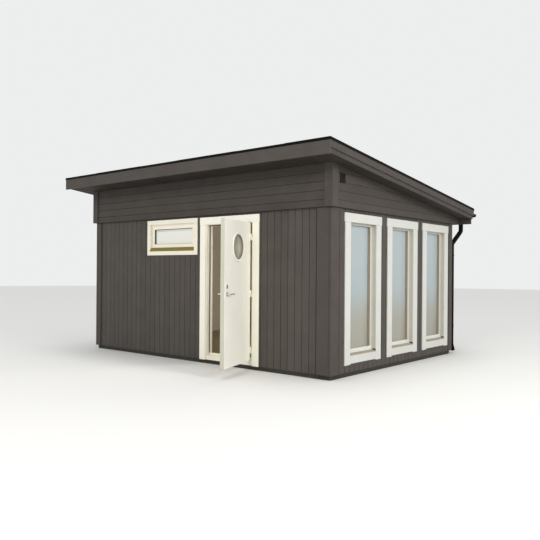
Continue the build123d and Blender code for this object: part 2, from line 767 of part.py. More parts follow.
def gutter_and_brackets(y, z):
    end = VERGE - GUTTER_END_INSET
    inner = GUTTER_RADIUS - GUTTER_WALL
    trough = half_round(GUTTER_RADIUS, inner, -end, end, y, z)
    cap = half_round(inner, 0, end - GUTTER_WALL, end, y, z)
    trough += cap
    trough += mirror(cap, about=Plane.YZ)
    outlet = Pos(VERGE - OUTLET_FROM_VERGE, y, z - GUTTER_RADIUS)
    trough -= outlet * Cylinder(PIPE_RADIUS - PIPE_WALL, GUTTER_RADIUS)
    save(trough, "gutter")

    brackets = []
    pitch = 2 * end / BRACKET_COUNT
    hold = GUTTER_RADIUS + SEAT_GAP
    for i in range(BRACKET_COUNT):
        x0 = -end + pitch * (i + 0.5) - BRACKET_WIDTH / 2
        x1 = x0 + BRACKET_WIDTH
        cradle = half_round(hold + BRACKET_THICK, hold, x0, x1, y, z)
        strap = block(
            x0, x1, EAVE_BACK, EAVE_BACK + BRACKET_THICK, z - BRACKET_RISE, z + BRACKET_RISE
        )
        brackets.append(cradle + strap)
    save(Compound(children=brackets), "gutter_brackets")


def downpipe(gutter_y, gutter_bottom):
    outlet_x = VERGE - OUTLET_FROM_VERGE
    x = RIGHT - PIPE_FROM_CORNER
    y = BACK + PIPE_WALL_GAP + PIPE_RADIUS
    neck_top = BAND_BOTTOM - PIPE_NECK_TOP_DROP
    neck_bottom = neck_top - PIPE_NECK_HEIGHT
    path = FilletPolyline(
        (outlet_x, gutter_y, gutter_bottom),
        (outlet_x, gutter_y, neck_top),
        (x, y, neck_bottom),
        (x, y, PIPE_SHOE_TOP),
        (x, y + PIPE_SHOE_REACH, PIPE_SHOE_BOTTOM),
        radius=PIPE_BEND_RADIUS,
    )
    inlet = Plane(origin=path @ 0, z_dir=path % 0)
    pipe = sweep(inlet * Circle(PIPE_RADIUS), path=path)
    mouth = Plane(origin=path @ 1, z_dir=path % 1)
    bore = extrude(mouth * Circle(PIPE_RADIUS - PIPE_WALL), amount=-PIPE_MOUTH_DEPTH)
    save(pipe - bore, "downpipe")

    clips = []
    hold = PIPE_RADIUS + SEAT_GAP
    half = PIPE_CLIP_HEIGHT / 2
    for height in (PIPE_CLIP_LOW, neck_bottom - PIPE_CLIP_FROM_NECK):
        centre = Pos(x, y, height)
        ring = centre * Cylinder(hold + PIPE_CLIP_THICK, PIPE_CLIP_HEIGHT)
        stub = block(
            x - half, x + half, BACK + CORNER_THICK, y - PIPE_RADIUS, height - half, height + half
        )
        clips.append(ring + stub - centre * Cylinder(hold, PIPE_CLIP_HEIGHT))
    save(Compound(children=clips), "pipe_clips")


def rainwater():
    y = EAVE_BACK + BRACKET_THICK + SEAT_GAP + GUTTER_RADIUS
    z = roof_z(EAVE_BACK, GUTTER_DROP)
    gutter_and_brackets(y, z)
    downpipe(y, z - GUTTER_RADIUS)


def vent():
    y = FRONT + VENT_FROM_CORNER
    y0 = y - VENT_WIDTH / 2
    y1 = y + VENT_WIDTH / 2
    z = BAND_BOTTOM + VENT_BAND_RISE
    z0 = z - VENT_HEIGHT / 2
    z1 = z + VENT_HEIGHT / 2
    out = BAND_OUT + VENT_DEPTH
    grille = block(BAND_OUT, out, y0, y1, z0, z1)
    low = z0 + VENT_RIM
    high = z1 - VENT_RIM
    pitch = (high - low) / VENT_SLATS
    for i in range(VENT_SLATS):
        z = low + pitch * i
        slot = [
            (out, z + VENT_SLAT_THICK),
            (out, z + pitch),
            (BAND_OUT + VENT_SLAT_THICK, z + pitch),
        ]
        grille -= prism_along_y(slot, y0 + VENT_RIM, y1 - VENT_RIM)
    save(grille, "vent_grille")


os.makedirs("parts", exist_ok=True)
base_and_floor()
front_wall()
side_and_back_walls()
roof()
fascias()
soffits()
bands()
corner_boards()
windows()
doorway()
door_leaf()
door_hinges()
door_fittings()
rainwater()
vent()
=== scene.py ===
import math
import random

import bmesh
import bpy
from mathutils import Matrix, Vector


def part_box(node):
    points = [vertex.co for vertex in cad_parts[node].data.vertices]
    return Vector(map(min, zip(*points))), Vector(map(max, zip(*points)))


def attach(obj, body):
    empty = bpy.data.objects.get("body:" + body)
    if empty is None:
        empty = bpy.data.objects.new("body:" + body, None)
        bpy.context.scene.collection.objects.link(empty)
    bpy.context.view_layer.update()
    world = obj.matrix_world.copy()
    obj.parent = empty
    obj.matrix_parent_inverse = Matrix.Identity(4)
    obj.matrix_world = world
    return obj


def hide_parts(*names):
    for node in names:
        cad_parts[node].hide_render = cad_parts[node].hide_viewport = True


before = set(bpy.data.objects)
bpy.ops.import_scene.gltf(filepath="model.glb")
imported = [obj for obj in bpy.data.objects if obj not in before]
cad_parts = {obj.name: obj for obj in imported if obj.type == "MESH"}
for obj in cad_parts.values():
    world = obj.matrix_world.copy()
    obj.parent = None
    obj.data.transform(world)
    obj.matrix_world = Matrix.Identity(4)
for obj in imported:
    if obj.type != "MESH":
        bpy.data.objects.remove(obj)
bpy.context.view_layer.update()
scene = bpy.context.scene

# The camera stands where the photograph was taken: at eye height, on the diagonal of
# the door wall and the window wall. Its place was fitted to the wall corners, the
# roof edges and the window heads of the photograph.
EYE = Vector((7.0217, -8.4271, 1.401))
HEADING_DEG = 39.8824
TILT_DEG = 0.0487
ROLL_DEG = 0.4064
FOCAL_PX = 626.6588
PICTURE_PX = 540
SENSOR_MM = 36.0
SIGHT_END = 200.0

camera_data = bpy.data.cameras.new("camera")
camera_data.sensor_width = SENSOR_MM
camera_data.lens = SENSOR_MM * FOCAL_PX / PICTURE_PX
camera_data.clip_end = SIGHT_END
camera = bpy.data.objects.new("camera", camera_data)
scene.collection.objects.link(camera)
heading = Matrix.Rotation(math.radians(HEADING_DEG), 4, "Z")
tilt = Matrix.Rotation(math.radians(90.0 + TILT_DEG), 4, "X")
roll = Matrix.Rotation(math.radians(ROLL_DEG), 4, "Z")
camera.matrix_world = Matrix.Translation(EYE) @ heading @ tilt @ roll
scene.camera = camera
scene.view_settings.view_transform = "Standard"


# The studio: one wide floor of pale paper under an even overcast light. A large soft
# lamp faces each of the two walls that are seen, a small warm one stands in the room,
# since the door is open, and a weak one shines from straight above.
def linear(hex_colour):
    """A colour written as sRGB hex, turned to the linear values that shaders use."""
    parts = [int(hex_colour[i : i + 2], 16) / 255 for i in (1, 3, 5)]
    return tuple(c / 12.92 if c <= 0.04045 else ((c + 0.055) / 1.055) ** 2.4 for c in parts) + (1.0,)


def add_node(tree, kind, links=None, **settings):
    """Adds a node; links maps an input's name or number to a value or to another output."""
    made = tree.nodes.new(kind)
    for key, value in settings.items():
        setattr(made, key, value)
    for key, value in (links or {}).items():
        socket = made.inputs[key]
        if isinstance(value, bpy.types.NodeSocket):
            tree.links.new(value, socket)
        else:
            socket.default_value = value
    return made


def new_finish(name, roughness, specular=0.5, metallic=0.0, hex_colour=None):
    """A material with its sheen, and with one even colour where no pattern follows."""
    material = bpy.data.materials.new(name)
    material.use_nodes = True
    shader = material.node_tree.nodes["Principled BSDF"]
    shader.inputs["Roughness"].default_value = roughness
    shader.inputs["Specular IOR Level"].default_value = specular
    shader.inputs["Metallic"].default_value = metallic
    if hex_colour:
        shader.inputs["Base Color"].default_value = linear(hex_colour)
    return material, material.node_tree, shader


FLOOR_REACH = 45.0
paper = new_finish("pale_paper", roughness=0.9, hex_colour="#E0DFDB")[0]
floor_mesh = bmesh.new()
bmesh.ops.create_circle(floor_mesh, cap_ends=True, segments=96, radius=FLOOR_REACH)
floor_data = bpy.data.meshes.new("studio_floor")
floor_mesh.to_mesh(floor_data)
floor_mesh.free()
floor_data.materials.append(paper)
floor = bpy.data.objects.new("studio_floor", floor_data)
scene.collection.objects.link(floor)

# the light on the cabin is duller than the backdrop that shows behind it and in its panes
world = bpy.data.worlds.new("overcast_light")
world.use_nodes = True
tree = world.node_tree
tree.nodes.clear()
rays = add_node(tree, "ShaderNodeLightPath")
seen = add_node(tree, "ShaderNodeMath", {0: rays.outputs["Is Camera Ray"],
                                         1: rays.outputs["Is Glossy Ray"]}, operation="MAXIMUM")
seen = add_node(tree, "ShaderNodeMath", {0: seen.outputs[0],
                                         1: rays.outputs["Is Transmission Ray"]}, operation="MAXIMUM")
light = add_node(tree, "ShaderNodeBackground", {"Color": linear("#F6F8FA"), "Strength": 0.65})
shown = add_node(tree, "ShaderNodeBackground", {"Color": linear("#EDEEEE"), "Strength": 1.0})
mixed = add_node(tree, "ShaderNodeMixShader", {0: seen.outputs[0], 1: light.outputs[0], 2: shown.outputs[0]})
add_node(tree, "ShaderNodeOutputWorld", {"Surface": mixed.outputs[0]})
scene.world = world


def add_lamp(name, place, target, size, power, colour, kind="AREA"):
    """A round soft lamp; the size is metres across, or radians where it is a far one."""
    data = bpy.data.lights.new(name, kind)
    if kind == "AREA":
        data.shape = "DISK"
        data.size = size
    else:
        data.angle = size
    data.energy = power
    data.color = linear(colour)[:3]
    lamp = bpy.data.objects.new(name, data)
    scene.collection.objects.link(lamp)
    aim = (Vector(target) - Vector(place)).to_track_quat("-Z", "Y")
    lamp.matrix_world = Matrix.Translation(Vector(place)) @ aim.to_matrix().to_4x4()


add_lamp("key_lamp", place=(13.0, -2.8, 6.0), target=(1.5, -1.0, 1.2), size=4.0, power=665.0,
         colour="#FFFDF9")
add_lamp("fill_lamp", place=(4.0, -14.0, 8.0), target=(0.0, -1.8, 1.2), size=6.0, power=640.0,
         colour="#FFFDF9")
add_lamp("room_lamp", place=(1.9, 0.9, 1.3), target=(-2.3, 1.4, 1.2), size=1.4, power=110.0,
         colour="#FFF8EE")
add_lamp("top_lamp", place=(0.0, 0.0, 30.0), target=(0.0, 0.0, 0.0), size=0.6, power=1.0,
         colour="#FAFBFF", kind="SUN")

# Outer boarding of the four walls: upright spruce boards, tongued and grooved with
# a small V at each joint, stained dark grey-brown. Each wall is boards on a lined
# frame, cut round its windows and its doorway.
BOARD_PITCH = 0.1194
BOARD_THICK = 0.020
BOARD_GAP = 0.007
BOARD_V_CUT = 0.006
# how far a board's stain may lie from the mean, either way
BOARD_TONES = 0.14
NARROWEST_BOARD = 0.01
BEHIND_BAND = 0.05
FRONT_JOINT_IN = 0.219
SIDE_JOINT_IN = 0.217
TALL_WIDTH = 0.735
TALL_COUNT = 3
# points nearer to each other than this are one
SAME_SPOT = 1e-5

wall_low, wall_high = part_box("back_wall")
LEFT = wall_low.x
RIGHT = wall_high.x
BACK = wall_high.y
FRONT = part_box("front_wall_left")[0].y
SILL_TOP = wall_low.z
BAND_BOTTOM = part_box("front_band")[0].z
WALL_THICK = BACK - wall_low.y
# the joint of the boarding that is seen beside each face of the right front corner
FRONT_JOINT = RIGHT - FRONT_JOINT_IN
SIDE_JOINT = FRONT + SIDE_JOINT_IN


def streaks(tree, place, along, width, length, noise):
    """Noise drawn out along a board, in streaks of a real width and length."""
    fine, long = 1 / width, 1 / length
    scale = {"X": (long, fine, fine), "Y": (fine, long, fine), "Z": (fine, fine, long)}[along]
    spot = add_node(tree, "ShaderNodeMapping", {"Vector": place, "Scale": scale})
    return add_node(tree, "ShaderNodeTexNoise", {"Vector": spot.outputs[0], "Scale": 1.0, **noise})


def shade_colour(tree, shader, hex_colour, amount, amounts, shares):
    """Multiplies the colour by a share; it goes through shares as amount goes through amounts."""
    share = add_node(tree, "ShaderNodeMapRange",
                     {"Value": amount, "From Min": amounts[0], "From Max": amounts[1],
                      "To Min": shares[0], "To Max": shares[1]})
    colour = add_node(tree, "ShaderNodeMix", {0: 1.0, 6: linear(hex_colour), 7: share.outputs[0]},
                      data_type="RGBA", blend_type="MULTIPLY")
    tree.links.new(colour.outputs[2], shader.inputs["Base Color"])


def stained_timber(name, hex_colour, along, roughness=0.62, contrast=0.16):
    """Softwood under a matt penetrating stain: the grain still shows as fine streaks
    along the board, each board took the stain a little differently, and it is dull."""
    material, tree, shader = new_finish(name, roughness, specular=0.15)
    place = add_node(tree, "ShaderNodeTexCoord").outputs["Object"]
    # grain lines about 4 mm apart across the board and 250 mm long
    grain = streaks(tree, place, along, 0.004, 0.25, {"Detail": 4.0, "Roughness": 0.6})
    # clouds of weather and stain about 300 mm across
    cloud = add_node(tree, "ShaderNodeTexNoise", {"Vector": place, "Scale": 1 / 0.3, "Detail": 3.0})
    tone = add_node(tree, "ShaderNodeAttribute", attribute_name="tone")
    stain = add_node(tree, "ShaderNodeMath",
                     {0: grain.outputs["Fac"], 1: cloud.outputs["Fac"]}, operation="ADD")
    stain = add_node(tree, "ShaderNodeMath",
                     {0: stain.outputs[0], 1: tone.outputs["Fac"]}, operation="ADD")
    shade_colour(tree, shader, hex_colour, stain.outputs[0],
                 amounts=(0.6, 1.4), shares=(1.0 - contrast, 1.0 + contrast))
    bump = add_node(tree, "ShaderNodeBump", {"Height": grain.outputs["Fac"], "Strength": 0.35,
                                             "Distance": 0.0008})
    tree.links.new(bump.outputs[0], shader.inputs["Normal"])
    return material


def new_boarding():
    """An empty mesh whose faces can say how dark their board took its stain."""
    bm = bmesh.new()
    bm.faces.layers.float.new("tone")
    return bm


def add_board(bm, low, high, tone=0.0):
    """One board between two corners, with its tone."""
    size = Vector(high) - Vector(low)
    centre = (Vector(high) + Vector(low)) / 2
    place = Matrix.Translation(centre) @ Matrix.Diagonal(size).to_4x4()
    made = bmesh.ops.create_cube(bm, size=1.0, matrix=place)
    layer = bm.faces.layers.float["tone"]
    for face in {face for vert in made["verts"] for face in vert.link_faces}:
        face[layer] = tone


def bevel_edges(bm, edges, width):
    """Breaks the edges with a small round of two flats."""
    bmesh.ops.bevel(bm, geom=list(edges), offset=width, offset_type="OFFSET", affect="EDGES",
                    segments=2, profile=0.5, material=-1, clamp_overlap=True)


def cut_rectangle(rectangle, hole):
    """What is left of a rectangle (left, right, low, high) beside, under and over a hole."""
    left, right, low, high = rectangle
    hole_left, hole_right, hole_low, hole_high = hole
    if hole_left >= right or hole_right <= left or hole_low >= high or hole_high <= low:
        return [rectangle]
    kept = []
    if hole_low > low:
        kept.append((left, right, low, hole_low))
    if hole_high < high:
        kept.append((left, right, hole_high, high))
    if hole_left > left:
        kept.append((left, hole_left, max(low, hole_low), min(high, hole_high)))
    if hole_right < right:
        kept.append((hole_right, right, max(low, hole_low), min(high, hole_high)))
    return kept


def joints_between(first, pitch, low, high):
    """The ends and the joints of a boarding that has one of its joints at first."""
    start = first - math.floor((first - low) / pitch) * pitch
    joints = [start + i * pitch for i in range(int((high - start) / pitch) + 1)]
    inside = [joint for joint in joints if low + NARROWEST_BOARD < joint < high - NARROWEST_BOARD]
    return [low, *inside, high]


def upright_boarding(u0, u1, z0, z1, first, pitch, thick, gap, v_cut, holes, seed):
    """Upright boards whose outer face is the plane y = 0, facing -Y."""
    bm = new_boarding()
    chance = random.Random(seed)
    joints = joints_between(first, pitch, u0, u1)
    for a, b in zip(joints, joints[1:]):
        tone = chance.uniform(-BOARD_TONES, BOARD_TONES)
        pieces = [(a + gap / 2, b - gap / 2, z0, z1)]
        for hole in holes:
            pieces = [part for piece in pieces for part in cut_rectangle(piece, hole)]
        for left, right, low, high in pieces:
            add_board(bm, (left, 0.0, low), (right, thick, high), tone)
    edges = []
    for edge in bm.edges:
        a, b = edge.verts[0].co, edge.verts[1].co
        upright_on_face = abs(a.y) < SAME_SPOT and abs(b.y) < SAME_SPOT and abs(a.x - b.x) < SAME_SPOT
        if upright_on_face and min(abs(abs(a.x - joint) - gap / 2) for joint in joints) < SAME_SPOT:
            edges.append(edge)
    bevel_edges(bm, edges, v_cut)
    return bm


def add_piece(name, bm, material, body="cabin", nodes=(), place=None):
    """Makes the mesh a piece of the object that rides on a body and stands for nodes."""
    if place is not None:
        bmesh.ops.transform(bm, matrix=place, verts=bm.verts)
    data = bpy.data.meshes.new(name)
    bm.to_mesh(data)
    bm.free()
    data.materials.append(material)
    piece = bpy.data.objects.new(name, data)
    scene.collection.objects.link(piece)
    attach(piece, body)
    if nodes:
        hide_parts(*nodes)
    return piece


def wall_place(turn_deg):
    """Takes a wall that faces -Y at y = 0 to its side of the cabin."""
    spot = {0: (0, FRONT, 0), 90: (RIGHT, 0, 0), 180: (0, BACK, 0), 270: (LEFT, 0, 0)}[turn_deg]
    return Matrix.Translation(spot) @ Matrix.Rotation(math.radians(turn_deg), 4, "Z")


def span(node, axis):
    """Where a node starts and ends along an axis."""
    low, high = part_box(node)
    return low[axis], high[axis]


wall_boards = stained_timber("stained_spruce_boards", "#514C48", "Z")
board_top = BAND_BOTTOM + BEHIND_BAND
inner_front = FRONT + WALL_THICK
inner_back = BACK - WALL_THICK
door_hole = (*span("door_frame", 0), 0.0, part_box("door_frame")[1].z)
small_hole = (*span("small_window_frame", 0), *span("small_window_frame", 2))
frames_low, frames_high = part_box("tall_window_frames")
tall_pitch = (frames_high.y - frames_low.y - TALL_WIDTH) / (TALL_COUNT - 1)
tall_centres = [frames_low.y + TALL_WIDTH / 2 + tall_pitch * i for i in range(TALL_COUNT)]
tall_holes = [(y - TALL_WIDTH / 2, y + TALL_WIDTH / 2, frames_low.z, frames_high.z) for y in tall_centres]
front_walls = ("front_wall_left", "front_wall_right", "front_wall_lintel")
for name, turn_deg, u0, u1, top, first, holes, seed, nodes in (
    ("front_boarding", 0, LEFT, RIGHT, board_top, FRONT_JOINT, [door_hole, small_hole], 11, front_walls),
    ("right_boarding", 90, inner_front, inner_back, board_top, SIDE_JOINT, tall_holes, 12, ("right_wall",)),
    ("back_boarding", 180, LEFT, RIGHT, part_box("back_soffit")[0].z, 0.0, [], 13, ("back_wall",)),
    ("left_boarding", 270, -inner_back, -inner_front, board_top, -SIDE_JOINT, [], 14, ("left_wall",)),
):
    boards = upright_boarding(u0, u1, SILL_TOP, top, first, BOARD_PITCH, BOARD_THICK, BOARD_GAP,
                              BOARD_V_CUT, holes, seed)
    add_piece(name, boards, wall_boards, place=wall_place(turn_deg), nodes=nodes)

# Behind the boards each wall is a stud frame with insulation, lined inside with
# planed panels. Its outer face lies one board's thickness back from the boards.
FLAT_DEG = 1.0


def plain_timber(name, hex_colour, along, roughness=0.55):
    """Softwood with no more than a thin clear coat: warm, with darker grain lines along it."""
    return stained_timber(name, hex_colour, along, roughness, contrast=0.12)


def copy_of_nodes(*names):
    """The merged mesh of CAD nodes; facets that turn by less than FLAT_DEG become one."""
    bm = new_boarding()
    for name in names:
        bm.from_mesh(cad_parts[name].data)
    bmesh.ops.remove_doubles(bm, verts=bm.verts, dist=SAME_SPOT)
    bmesh.ops.dissolve_limit(bm, angle_limit=math.radians(FLAT_DEG), verts=bm.verts, edges=bm.edges)
    return bm


lining = plain_timber("oiled_pine_lining", "#8C8677", "Z")
for name, nodes, axis, face, inward in (
    ("front_wall_frame", front_walls, 1, FRONT, 1),
    ("right_wall_frame", ("right_wall",), 0, RIGHT, -1),
    ("back_wall_frame", ("back_wall",), 1, BACK, -1),
    ("left_wall_frame", ("left_wall",), 0, LEFT, 1),
):
    core = copy_of_nodes(*nodes)
    outer = [vert for vert in core.verts if abs(vert.co[axis] - face) < SAME_SPOT]
    shift = Vector((0, 0, 0))
    shift[axis] = inward * BOARD_THICK
    bmesh.ops.translate(core, verts=outer, vec=shift)
    add_piece(name, core, lining)

# The band round the top of the walls: level boards of the same profile, hung on
# battens so that they stand clear of the wall and shade the window heads. Its
# underside is painted darker, as painted shade.
ROOF_PITCH = math.radians(6.70)
BAND_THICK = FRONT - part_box("front_band")[0].y
BAND_BOARD_THICK = 0.022
LOWEST_BAND_BOARD = 0.097
BAND_PITCH = 0.116
BAND_GAP = 0.003
BAND_V_CUT = 0.004
BAND_TONES = 0.12
SIDE_BAND_GAP = 0.002
SIDE_BAND_V_CUT = 0.003
BATTEN_RISE = 0.012
BATTEN_TONE = -0.2
UNDERSIDE_REACH = 0.022
# room left under the roof, at the front and at the sides
FRONT_BAND_CLEAR = 0.008
SIDE_BAND_CLEAR = 0.001
# a face looks along an axis when its normal has this share of it
FACING = 0.5


def level_boarding(u0, u1, z0, z1, first, pitch, thick, depth, gap, v_cut, seed):
    """Level boards with their face at y = 0, and one batten block behind them."""
    bm = new_boarding()
    chance = random.Random(seed)
    joints = joints_between(first, pitch, z0, z1)
    for low, high in zip(joints, joints[1:]):
        tone = chance.uniform(-BAND_TONES, BAND_TONES)
        add_board(bm, (u0, 0.0, low + gap / 2), (u1, thick, high - gap / 2), tone)
    edges = []
    for edge in bm.edges:
        a, b = edge.verts[0].co, edge.verts[1].co
        if abs(a.y) < SAME_SPOT and abs(b.y) < SAME_SPOT and abs(a.z - b.z) < SAME_SPOT:
            edges.append(edge)
    bevel_edges(bm, edges, v_cut)
    add_board(bm, (u0, thick, z0 + BATTEN_RISE), (u1, depth, z1), BATTEN_TONE)
    return bm


def repaint(mesh, material, test):
    """Gives the faces that pass the test one more material."""
    mesh.materials.append(material)
    for face in mesh.polygons:
        if test(face):
            face.material_index = len(mesh.materials) - 1


def paint_underside_shade(band):
    """Paints the foot of a band's lowest board and of its batten darker, as painted shade."""
    reach = min(vert.co.z for vert in band.data.vertices) + UNDERSIDE_REACH
    repaint(band.data, painted_shade_stain, lambda face: face.normal.z < -FACING and face.center.z < reach)


def cut_above(bm, point, normal):
    """Cuts off what stands above a plane and closes the cut."""
    geometry = list(bm.verts) + list(bm.edges) + list(bm.faces)
    bmesh.ops.bisect_plane(bm, geom=geometry, plane_co=point, plane_no=normal, clear_outer=True)
    open_edges = [edge for edge in bm.edges if edge.is_boundary]
    bmesh.ops.holes_fill(bm, edges=open_edges, sides=0)


front_band_boards = stained_timber("stained_band_boards", "#4A4541", "X")
side_band_boards = stained_timber("stained_side_band_boards", "#4A4541", "Y")
# painted shade: a near-black stain for the band's underside and for the flanks of the corner joints
painted_shade_stain = stained_timber("painted_shade_dark_stain", "#24211E", "X")
band_joint = BAND_BOTTOM + LOWEST_BAND_BOARD
low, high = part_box("front_band")
band = level_boarding(low.x, high.x, BAND_BOTTOM, high.z - FRONT_BAND_CLEAR, band_joint, BAND_PITCH,
                      BAND_BOARD_THICK, BAND_THICK, BAND_GAP, BAND_V_CUT, seed=21)
band = add_piece("front_band_boards", band, front_band_boards,
                 place=Matrix.Translation((0, FRONT - BAND_THICK, 0)), nodes=("front_band",))
paint_underside_shade(band)
low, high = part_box("side_bands")
for name, side, nodes in (("right_band_boards", 1, ("side_bands",)), ("left_band_boards", -1, ())):
    u0, u1 = (low.y, high.y) if side > 0 else (-high.y, -low.y)
    band = level_boarding(u0, u1, BAND_BOTTOM, high.z, band_joint, BAND_PITCH,
                          BAND_BOARD_THICK, BAND_THICK, SIDE_BAND_GAP, SIDE_BAND_V_CUT, seed=22)
    place = Matrix.Translation((side * high.x, 0, 0)) @ Matrix.Rotation(side * math.pi / 2, 4, "Z")
    bmesh.ops.transform(band, matrix=place, verts=band.verts)
    cut_above(band, (0, low.y, high.z - SIDE_BAND_CLEAR), (0, math.sin(ROOF_PITCH), math.cos(ROOF_PITCH)))
    band = add_piece(name, band, side_band_boards, nodes=nodes)
    paint_underside_shade(band)

# The corners: two planed boards each, in the same stain, nailed over the ends of the
# boarding. They meet in a fine joint near the arris and lie against the cladding with
# the same open joint as between its boards.
CORNER_THICK = 0.022
CORNER_LAP = 0.035
FRONT_CORNER_SHIFT = 0.009
SIDE_CORNER_SHIFT = 0.052
EDGE_SOFT = 0.002
SHARP_DEG = 25


def soft_copy(node, width):
    """The same form as its node, with every edge broken as a planed board's is."""
    bm = copy_of_nodes(node)
    edges = [edge for edge in bm.edges
             if len(edge.link_faces) == 2 and edge.calc_face_angle(0) > math.radians(SHARP_DEG)]
    bevel_edges(bm, edges, width)
    return bm


def cut_joint(bm, along, place, across, face, half, slope, depth):
    """Cuts an upright joint into a board's face, with a floor 2 x half wide and sloped sides."""
    normal = Vector((0, 0, 0))
    normal[along] = 1
    for offset in (-half - slope, -half, half, half + slope):
        geometry = list(bm.verts) + list(bm.edges) + list(bm.faces)
        bmesh.ops.bisect_plane(bm, geom=geometry, plane_co=normal * (place + offset), plane_no=normal)
    for vert in bm.verts:
        on_face = abs(vert.co[across] - face) < SAME_SPOT
        if on_face and abs(vert.co[along] - place) < half + SAME_SPOT:
            vert.co[across] -= math.copysign(depth, face)


corner_stain = stained_timber("stained_corner_boards", "#4E4945", "Z")
corners = soft_copy("corner_boards", EDGE_SOFT)
corner_front = FRONT - CORNER_THICK
cut_joint(corners, 0, FRONT_JOINT + FRONT_CORNER_SHIFT, 1, corner_front, half=0.003, slope=0.003, depth=0.012)
for side in (1, -1):
    corner_side = side * (RIGHT + CORNER_THICK)
    cut_joint(corners, 0, corner_side - side * CORNER_LAP, 1, corner_front, half=0.001, slope=0.002,
              depth=0.006)
    cut_joint(corners, 1, SIDE_JOINT - SIDE_CORNER_SHIFT, 0, corner_side, half=0.002, slope=0.003,
              depth=0.012)
corners = add_piece("corner_boarding", corners, corner_stain, nodes=("corner_boards",))
# the flanks of the joints and the broken arrises are painted darker, as painted shade
repaint(corners.data, painted_shade_stain,
        lambda face: abs(face.normal.x) > FACING and abs(face.normal.y) > FACING)

# The fascias and the rake boards: planed boards in the same stain, nailed to the ends
# of the rafters and of the deck. At the front the fascia runs across the ends of the
# rake boards, which stop behind it.
FASCIA_THICK = 0.022
END_REACH = 0.005


def soft_edges(name, node, material, width, body="cabin"):
    """A soft copy of the node as a finished piece that stands for it."""
    return add_piece(name, soft_copy(node, width), material, body, (node,))


def move_verts(piece, test, shift):
    """Moves the points that pass the test."""
    for vert in piece.data.vertices:
        if test(vert.co):
            vert.co += shift(vert.co)


fascia_stain = stained_timber("stained_fascia_boards", "#4F4A46", "X")
rake_stain = stained_timber("stained_rake_boards", "#4B4642", "Y")
fascias = soft_edges("fascia_boards", "fascias", fascia_stain, EDGE_SOFT)
rakes = soft_edges("rake_boards", "bargeboards", rake_stain, EDGE_SOFT)
eave_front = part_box("fascias")[0].y
fascia_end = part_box("fascias")[1].x
rake_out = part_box("bargeboards")[1].x
move_verts(fascias, lambda co: co.y < 0 and abs(co.x) > fascia_end - END_REACH,
           lambda co: Vector((math.copysign(rake_out - fascia_end, co.x), 0, 0)))
move_verts(rakes, lambda co: co.y < eave_front + END_REACH,
           lambda co: Vector((0, FASCIA_THICK, -FASCIA_THICK * math.tan(ROOF_PITCH))))

# The base: a heavy sill of the same stained timber all round, which carries the walls
# and lies on the ground.
SILL_SOFT = 0.003
sill_stain = stained_timber("stained_sill", "#3A3733", "X")
soft_edges("sill_beams", "base_sill", sill_stain, SILL_SOFT)

# Under the eaves: narrow matchboards, stained almost black, nailed up to the rafters.
# They run along the door wall, and across the overhangs at the sides.
SOFFIT_PITCH = 0.095
SOFFIT_THICK = 0.012
SOFFIT_BOARD_THICK = 0.008
SOFFIT_V_CUT = 0.003


def use_material(node, material):
    """A CAD node keeps its own mesh and gets a finish."""
    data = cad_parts[node].data
    data.materials.clear()
    data.materials.append(material)


soffit_stain = stained_timber("stained_soffit_boards", "#37332F", "X")
# the side soffits' stain is darkened as painted shade under the rake boards
side_soffit_stain_and_shade = stained_timber("stained_side_soffit_painted_shade", "#383430", "Y")
face_down = Matrix.Rotation(-ROOF_PITCH, 4, "X") @ Matrix.Rotation(math.pi / 2, 4, "X")
low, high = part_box("front_soffit")
reach = (high.y - low.y) / math.cos(ROOF_PITCH)
soffit = level_boarding(low.x, high.x, 0.0, reach, SOFFIT_PITCH, SOFFIT_PITCH, SOFFIT_BOARD_THICK,
                        SOFFIT_THICK, BAND_GAP, SOFFIT_V_CUT, seed=31)
add_piece("front_soffit_boards", soffit, soffit_stain, nodes=("front_soffit",),
          place=Matrix.Translation((0, high.y, low.z)) @ face_down)
low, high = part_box("side_soffits")
reach = (high.y - low.y) / math.cos(ROOF_PITCH)
band_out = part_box("side_bands")[1].x
for name, u0, u1, nodes in (("right_soffit_boards", band_out, high.x, ("side_soffits",)),
                            ("left_soffit_boards", low.x, -band_out, ())):
    soffit = upright_boarding(u0, u1, 0.0, reach, u0 + SOFFIT_PITCH, SOFFIT_PITCH, SOFFIT_THICK,
                              BOARD_GAP, SOFFIT_V_CUT, holes=[], seed=32)
    add_piece(name, soffit, side_soffit_stain_and_shade, nodes=nodes,
              place=Matrix.Translation((0, high.y, low.z)) @ face_down)
use_material("back_soffit", soffit_stain)


# The roof covering: bitumen felt with a fine black mineral grit, laid in lanes a
# metre wide from the door side to the back eave and stuck down. Every second lane
# laps over its neighbours.
def grit_felt(name, hex_colour):
    """Mineral-surfaced bitumen: dead matt, with sparkling grains about 2 mm across,
    drawn at 5 mm so that they show."""
    material, tree, shader = new_finish(name, roughness=0.95, specular=0.1)
    place = add_node(tree, "ShaderNodeTexCoord").outputs["Object"]
    grains = add_node(tree, "ShaderNodeTexVoronoi", {"Vector": place, "Scale": 1 / 0.005})
    # clouds of dust about 500 mm across
    cloud = add_node(tree, "ShaderNodeTexNoise", {"Vector": place, "Scale": 1 / 0.5, "Detail": 3.0})
    grit = add_node(tree, "ShaderNodeMath",
                    {0: grains.outputs["Distance"], 1: cloud.outputs["Fac"]}, operation="ADD")
    shade_colour(tree, shader, hex_colour, grit.outputs[0], amounts=(0.4, 1.4), shares=(0.7, 1.5))
    bump = add_node(tree, "ShaderNodeBump", {"Height": grains.outputs["Distance"], "Strength": 0.5,
                                             "Distance": 0.001})
    tree.links.new(bump.outputs[0], shader.inputs["Normal"])
    return material


